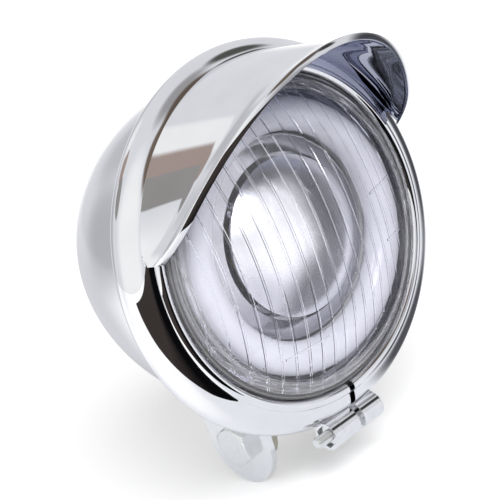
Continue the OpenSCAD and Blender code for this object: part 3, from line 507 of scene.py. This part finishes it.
new_piece("ring_shell", [turned(ring_profile(), gap=RING_GAP)], "shell_chrome", instead_of="trim_ring")
new_piece("bucket_shell", [turned(bucket_profile())], "bucket_chrome", "bucket")


# Visor
def visor_lip_at(angle):
    """Radius of the lip's middle at an angle in degrees from the top."""
    return VISOR_LIP_R + VISOR_CROWN * (1 + math.cos(math.radians(2.6 * angle))) / 2


def visor_front(angle):
    """Depth of the lip at that angle."""
    curl = VISOR_CURL * max(0.0, 5 * abs(angle) / VISOR_HALF - 4) ** 2
    return VISOR_RAKE * visor_lip_at(angle) * (1 - math.cos(math.radians(angle))) - VISOR_REACH + curl


def visor_rear(angle):
    """Depth of the edge that stands on the ring, and of the end cuts beyond it."""
    if abs(angle) <= VISOR_SEAT_HALF:
        return VISOR_FOOT_B
    share = (abs(angle) - VISOR_SEAT_HALF) / (VISOR_HALF - VISOR_SEAT_HALF)
    return VISOR_FOOT_B + (visor_front(VISOR_HALF) + 3 * LIP_ROLL - VISOR_FOOT_B) * share


def visor_section(angle):
    """Points round the sheet's section at an angle: the plain sheet, its flared hem and its rolled lip."""
    rear, front = visor_rear(angle), visor_front(angle)
    span, half = rear - front, VISOR_T / 2
    plain = 1 - 2.2 * LIP_ROLL / span
    crease = max(0.3 * plain, 1 - VISOR_HEM_W / span)
    side = [(crease * i / 10, half) for i in range(11)]
    side += [(crease + (plain - crease) * i / 5, half) for i in range(1, 6)]
    roll = [(1 - 1.5 * LIP_ROLL / span, LIP_ROLL), (1 - 0.6 * LIP_ROLL / span, 0.95 * LIP_ROLL),
            (1 - 0.35 * LIP_ROLL / span, 0.75 * LIP_ROLL), (1, -VISOR_FACE),
            (1 - 0.5 * LIP_ROLL / span, -VISOR_FACE - 0.2), (1 - 1.5 * LIP_ROLL / span, -VISOR_FACE)]
    points = []
    for t, out in side + roll + [(t, -out) for t, out in reversed(side)]:
        flare = VISOR_HEM_FLARE * (max(0.0, t - crease) / (1 - crease) - t)
        r = VISOR_SEAT_R * (1 - t) + visor_lip_at(angle) * t + out + flare
        points.append(place(r, math.radians(angle), rear * (1 - t) + front * t))
    return points


def visor_shape(stations=220):
    """The visor as one closed sheet."""
    verts, faces = [], []
    for i in range(stations + 1):
        verts += visor_section(VISOR_HALF * (2 * i / stations - 1))
    corners = len(verts) // (stations + 1)
    for i in range(stations):
        for k in range(corners):
            n = (k + 1) % corners
            faces.append([i * corners + k, i * corners + n, (i + 1) * corners + n, (i + 1) * corners + k])
    faces.append(list(range(corners)))
    faces.append(list(range(stations * corners, (stations + 1) * corners)))
    return verts, faces


visor = new_piece("visor_sheet", [visor_shape()], "shell_chrome", instead_of="visor", sharp=50.0)
# The side that faces the lamp takes the darker chrome, which holds painted shade and a painted dark
# reflection
visor.data.materials.append(mats["visor_inside"])
for polygon in visor.data.polygons:
    outwards = polygon.center - Vector((0.0, polygon.center.y, AXIS_Z))
    if polygon.normal.dot(outwards) < 0:
        polygon.material_index = 1


# Halo, bezel and dome
def halo_profile():
    """The halo tube's outside, flat at its open side."""
    cut = math.degrees(math.asin(HALO_CUT / HALO_ROUND))
    return oval(HALO_R, HALO_B, HALO_ROUND, HALO_ROUND, 180 - cut, 360 + cut, 72)


def bezel_profile():
    """The bezel round the dome: a sloped face with rounded edges, a wall behind the slot and a floor."""
    face = oval(BEZEL_R - BEZEL_EDGE, BEZEL_B + 0.4, BEZEL_EDGE, BEZEL_EDGE, 360, 250, 12)
    face += oval(BEZEL_LIP_R + BEZEL_LIP_EDGE, BEZEL_LIP_B + BEZEL_LIP_EDGE, BEZEL_LIP_EDGE,
                 BEZEL_LIP_EDGE, 250, 180, 6)
    back_b = BEZEL_FLOOR_B + BEZEL_T
    return ([(BEZEL_R, CARRIER_B)] + face
            + [(BEZEL_LIP_R, BEZEL_FLOOR_B), (BEZEL_HOLE_R, BEZEL_FLOOR_B), (BEZEL_HOLE_R, back_b),
               (BEZEL_LIP_R + BEZEL_T, back_b), (BEZEL_LIP_R + BEZEL_T, BEZEL_LIP_B + 1.5 * BEZEL_T),
               (CARRIER_IN_R, BEZEL_B + BEZEL_T / 2), (CARRIER_IN_R, CARRIER_B)])


def dome_profile():
    """The dome's section: a shallow ball with a turned rim."""
    ball = (DOME_R ** 2 + DOME_H ** 2) / (2 * DOME_H)
    half = math.degrees(math.asin(DOME_R / ball))
    middle_b = DOME_B - DOME_H + ball
    front = [(0.0, DOME_B - DOME_H)] + oval(0, middle_b, ball, ball, 270 + half / 60, 270 + half, 59)
    inner = ball - DOME_T
    back = oval(0, middle_b, inner, inner, 270 + 0.92 * half, 270 + half / 40, 36) + [(0.0, middle_b - inner)]
    return front + [(DOME_R, DOME_B + DOME_T), (DOME_R - DOME_RIM_W, DOME_B + DOME_T)] + back


dome_shapes = [turned(dome_profile())]
for i in range(DOME_LEG_COUNT):
    leg_angle = math.radians(45 + 360 * i / DOME_LEG_COUNT)
    dome_shapes.append(slab(leg_angle, DOME_R - DOME_RIM_W, DOME_R - DOME_LEG_IN,
                            DOME_B + DOME_T / 2, BEZEL_FLOOR_B, DOME_LEG_W))

new_piece("halo_glow_tube", [turned(halo_profile())], "opal_plastic", instead_of="halo_tube")
# The bezel collar's grey chrome holds painted shade
new_piece("bezel_collar", [turned(bezel_profile())], "bezel_chrome", "inner_bezel")
new_piece("dome_cap", dome_shapes, "dome_chrome", instead_of="dome_shade")


# Fasteners, each on the axis and between the ends that its CAD node has
def ends_of(node):
    """The ends of a node along X in millimetres, and its middle in Y and Z in metres."""
    low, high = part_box(node)
    return low[0] / MM, high[0] / MM, (low[1] + high[1]) / 2, (low[2] + high[2]) / 2


def add_mount_bolt():
    """The bolt through the ears: a turned hexagon head, a plain shank and a thread."""
    low_x, high_x, y, z = ends_of("mount_bolt")
    neck_x = low_x + BOLT_HEAD_T
    shank_x = high_x - BOLT_THREAD_L
    head = hex_stations(low_x, neck_x, BOLT_AF, (True, False))
    shank = [(neck_x, circle(BOLT_D / 2)), (shank_x, circle(BOLT_D / 2))]
    thread = thread_stations(shank_x, high_x, BOLT_D / 2, BOLT_PITCH)
    new_piece("bolt_turned", [bar(y, z, head + shank + thread)], "fastener_steel",
              instead_of="mount_bolt", sharp=20.0)


def add_mount_nut():
    """The nut on the bolt's far end, turned down at both faces."""
    low_x, high_x, y, z = ends_of("mount_nut")
    new_piece("nut_turned", [bar(y, z, hex_stations(low_x, high_x, BOLT_AF))], "fastener_steel",
              instead_of="mount_nut", sharp=20.0)


def add_clamp_screw():
    """The clamp's screw: a thread and a socket head with a hexagon recess."""
    low_x, high_x, y, z = ends_of("clamp_screw")
    head_r, head_t = CLAMP_SCREW_D * 0.85, CLAMP_SCREW_D * 0.65
    neck_x = high_x - head_t
    key = CLAMP_SCREW_D * 0.42 * math.sqrt(3)
    stations = thread_stations(neck_x, low_x, CLAMP_SCREW_D / 2, CLAMP_PITCH)[::-1]
    stations += [(neck_x, circle(head_r)), (high_x - 0.4, circle(head_r)),
                 (high_x - 0.15, circle(head_r - 0.1)), (high_x, circle(head_r - 0.4)),
                 (high_x, hexagon(key)), (high_x - head_t / 2, hexagon(key))]
    new_piece("clamp_screw_cut", [bar(y, z, stations)], "fastener_steel", instead_of="clamp_screw")


def grommet_profile():
    """The grommet in the tail's hole, with rounded collars."""
    front_b, round_r, bore_round = TAIL_B - BUCKET_WALL, GROMMET_ROUND, GROMMET_BORE_ROUND
    rear_b = TAIL_B + GROMMET_COLLAR_T
    return ([(GROMMET_BORE_R, front_b - GROMMET_COLLAR_T), (GROMMET_R, front_b - GROMMET_COLLAR_T),
             (GROMMET_R, front_b), (TAIL_HOLE_R, front_b), (TAIL_HOLE_R, TAIL_B)]
            + [(GROMMET_R - 0.2, TAIL_B), (GROMMET_R, TAIL_B + 0.3)]
            + oval(GROMMET_R - 1.5 - round_r, rear_b - round_r, round_r, round_r, 20, 90, 8)
            + oval(GROMMET_BORE_R + bore_round, rear_b - bore_round, bore_round, bore_round, 90, 180, 6))


add_mount_bolt()
add_mount_nut()
add_clamp_screw()
new_piece("grommet_moulded", [turned(grommet_profile(), 96)], "gasket_rubber", instead_of="cable_grommet")


# Stage: the surroundings that metal shows, by direction from the lamp, and those seen through the lens. They
# are placed to suit the photograph. Each spot has an azimuth from the front towards +X, an elevation,
# the radii in degrees where it is full and where it ends, and a colour.
STUDIO_BASE = (0.77, 0.78, 0.81)
SPOTS = [
    (-75, 18, 30, 55, (1.0, 1.0, 1.0)),
    (-95, -20, 20, 40, (1.0, 1.0, 1.0)),
    (175, -25, 16, 30, (0.6, 0.6, 0.63)),
    (-165, 8, 8, 22, (0.5, 0.5, 0.52)),
    (168, 24, 5, 16, (0.55, 0.55, 0.58)),
    (146, -8, 8, 18, (1.0, 1.0, 1.0)),
    (-140, -15, 8, 18, (1.0, 1.0, 1.0)),
    (5, 2, 8, 26, (0.42, 0.42, 0.45)),
    (85, -5, 10, 30, (0.06, 0.06, 0.07)),
    (80, -45, 10, 26, (0.08, 0.08, 0.09)),
    (84, 46, 8, 18, (0.09, 0.095, 0.085)),
    (48, 33, 6, 13, (0.05, 0.05, 0.05)),
    (37, 72, 8, 24, (0.36, 0.35, 0.36)),
    (-8, 38, 10, 19, (0.17, 0.13, 0.1)),
    (22, 46, 11, 21, (0.13, 0.1, 0.08)),
    (-154, 41, 7, 8, (0.4, 0.32, 0.29)),
    (-140, 34, 8, 9.5, (0.32, 0.31, 0.3)),
    (-172, 44, 5, 9, (0.95, 0.95, 0.95)),
]
LENS_BASE = (0.78, 0.78, 0.83)
LENS_SPOTS = [
    (12, -3, 28, 46, (1.25, 1.25, 1.25)),
    (-40, 20, 20, 50, (1.1, 1.1, 1.1)),
    (92, -6, 42, 60, (0.03, 0.03, 0.04)),
    (60, -55, 24, 44, (0.12, 0.12, 0.14)),
    (45, 52, 16, 32, (0.12, 0.12, 0.13)),
]


def heading(azimuth, elevation):
    """Unit vector of a direction in degrees."""
    a, e = math.radians(azimuth), math.radians(elevation)
    return (math.sin(a) * math.cos(e), -math.cos(a) * math.cos(e), math.sin(e))


def studio_colour(ns, links, direction, base, spots):
    """The studio's colour in a direction given by a socket."""
    plain = ns.new("ShaderNodeRGB")
    plain.outputs[0].default_value = (*base, 1.0)
    shown = plain.outputs[0]
    for azimuth, elevation, full, end, colour in spots:
        facing = ns.new("ShaderNodeVectorMath")
        facing.operation = "DOT_PRODUCT"
        facing.inputs[1].default_value = heading(azimuth, elevation)
        links.new(direction, facing.inputs[0])
        share = ns.new("ShaderNodeMapRange")
        share.interpolation_type = "SMOOTHSTEP"
        share.inputs["From Min"].default_value = math.cos(math.radians(end))
        share.inputs["From Max"].default_value = math.cos(math.radians(full))
        links.new(facing.outputs["Value"], share.inputs["Value"])
        mix = ns.new("ShaderNodeMixRGB")
        mix.inputs["Color2"].default_value = (*colour, 1.0)
        links.new(share.outputs[0], mix.inputs["Fac"])
        links.new(shown, mix.inputs["Color1"])
        shown = mix.outputs["Color"]
    return shown


def most_of(ns, links, *sockets):
    """The largest of several values."""
    result = sockets[0]
    for socket in sockets[1:]:
        node = ns.new("ShaderNodeMath")
        node.operation = "MAXIMUM"
        links.new(result, node.inputs[0])
        links.new(socket, node.inputs[1])
        result = node.outputs[0]
    return result


def seen_in_metal(ns, links, direction, plain):
    """Plain colour to the camera, and the studio's colours in metal and through glass."""
    path = ns.new("ShaderNodeLightPath")
    base = ns.new("ShaderNodeRGB")
    base.outputs[0].default_value = plain
    shown = base.outputs[0]
    for ray, studio in (("Is Glossy Ray", (STUDIO_BASE, SPOTS)),
                        ("Is Transmission Ray", (LENS_BASE, LENS_SPOTS))):
        mix = ns.new("ShaderNodeMixRGB")
        links.new(path.outputs[ray], mix.inputs["Fac"])
        links.new(shown, mix.inputs["Color1"])
        links.new(studio_colour(ns, links, direction, *studio), mix.inputs["Color2"])
        shown = mix.outputs["Color"]
    return shown, most_of(ns, links, *(path.outputs[ray] for ray in
                                       ("Is Camera Ray", "Is Glossy Ray", "Is Transmission Ray")))


def scaled(ns, links, value, low, high):
    """A 0 to 1 value stretched between two others."""
    node = ns.new("ShaderNodeMapRange")
    node.inputs["To Min"].default_value = low
    node.inputs["To Max"].default_value = high
    links.new(value, node.inputs["Value"])
    return node.outputs[0]


def add_world():
    """White to the camera, the studio in metal and glass, and softer as light."""
    world = bpy.data.worlds.new("studio")
    bpy.context.scene.world = world
    world.use_nodes = True
    ns, links = world.node_tree.nodes, world.node_tree.links
    where = ns.new("ShaderNodeTexCoord")
    colour, seen = seen_in_metal(ns, links, where.outputs["Generated"], (1.0, 1.0, 1.0, 1.0))
    links.new(colour, ns["Background"].inputs["Color"])
    links.new(scaled(ns, links, seen, 0.5, 1.0), ns["Background"].inputs["Strength"])


def flat_object(name, corners, material):
    """A flat stage object from its corners in metres."""
    mesh = bpy.data.meshes.new(name)
    mesh.from_pydata(corners, [], [list(range(len(corners)))])
    mesh.materials.append(material)
    piece = bpy.data.objects.new(name, mesh)
    bpy.context.scene.collection.objects.link(piece)
    return piece


# Heights in metres, and the floor's half width
FLOOR_GAP, FLAG_LIFT, FLOOR_HALF = 0.0005, 0.002, 6.0
FLOOR_Z = cad_box[0][2] - FLOOR_GAP


def add_floor():
    """A pale floor under the part that stays white to the camera but keeps the shadow."""
    material, ns, links, shader = new_material("floor")
    where = ns.new("ShaderNodeNewGeometry")
    offset = ns.new("ShaderNodeVectorMath")
    offset.operation = "SUBTRACT"
    offset.inputs[1].default_value = place(0, 0, 10)
    links.new(where.outputs["Position"], offset.inputs[0])
    unit = ns.new("ShaderNodeVectorMath")
    unit.operation = "NORMALIZE"
    links.new(offset.outputs[0], unit.inputs[0])
    colour, seen = seen_in_metal(ns, links, unit.outputs[0], (0.93, 0.93, 0.93, 1.0))
    links.new(colour, shader.inputs["Base Color"])
    links.new(colour, shader.inputs["Emission Color"])
    links.new(scaled(ns, links, seen, 0.0, 0.32), shader.inputs["Emission Strength"])
    set_inputs(shader, Roughness=0.9, Specular_IOR_Level=0.0)
    flat_object("floor", [(x * FLOOR_HALF, y * FLOOR_HALF, FLOOR_Z)
                          for x, y in ((-1, -1), (1, -1), (1, 1), (-1, 1))], material)


def add_flag():
    """A dark sheet on the floor in front of the lamp, black at its right, which only metal shows."""
    material, ns, links, shader = new_material("flag_black")
    set_inputs(shader, Roughness=0.9, Specular_IOR_Level=0.0)
    where = ns.new("ShaderNodeTexCoord")
    across = ns.new("ShaderNodeSeparateXYZ")
    links.new(where.outputs["Object"], across.inputs[0])
    stretch = ns.new("ShaderNodeMapRange")
    stretch.inputs["From Min"].default_value = -0.2
    stretch.inputs["From Max"].default_value = 0.0
    links.new(across.outputs["X"], stretch.inputs["Value"])
    shades = [(0.3, (0.055, 0.045, 0.042)), (0.75, (0.004, 0.004, 0.005))]
    links.new(ramp(ns, links, stretch.outputs[0], shades), shader.inputs["Base Color"])
    corners = [(-1000, -10), (-500, -20), (-200, -32), (-120, -42), (-60, -51), (-30, -66), (0, -84),
               (20, -100), (50, -140), (110, -270), (170, -420), (240, -560), (900, -2000),
               (2600, -5800), (-3000, -5800), (-1600, -2000), (-1100, -300)]
    z = FLOOR_Z + FLAG_LIFT
    flag = flat_object("flag", [(x * MM, CREST_Y + y * MM, z) for x, y in corners], material)
    flag.visible_camera = flag.visible_diffuse = flag.visible_shadow = flag.visible_transmission = False


def add_key(azimuth, elevation, power, spread):
    """A soft distant lamp from a direction in degrees, which metal doesn't show."""
    data = bpy.data.lights.new("key", "SUN")
    data.energy = power
    data.angle = math.radians(spread)
    lamp = bpy.data.objects.new("key", data)
    lamp.rotation_euler = Vector(heading(azimuth, elevation)).to_track_quat("Z", "Y").to_euler()
    bpy.context.scene.collection.objects.link(lamp)
    lamp.visible_glossy = False


bpy.context.scene.view_settings.view_transform = "Standard"
add_floor()
add_flag()
add_world()
add_key(-22, 38, 2.0, 30)
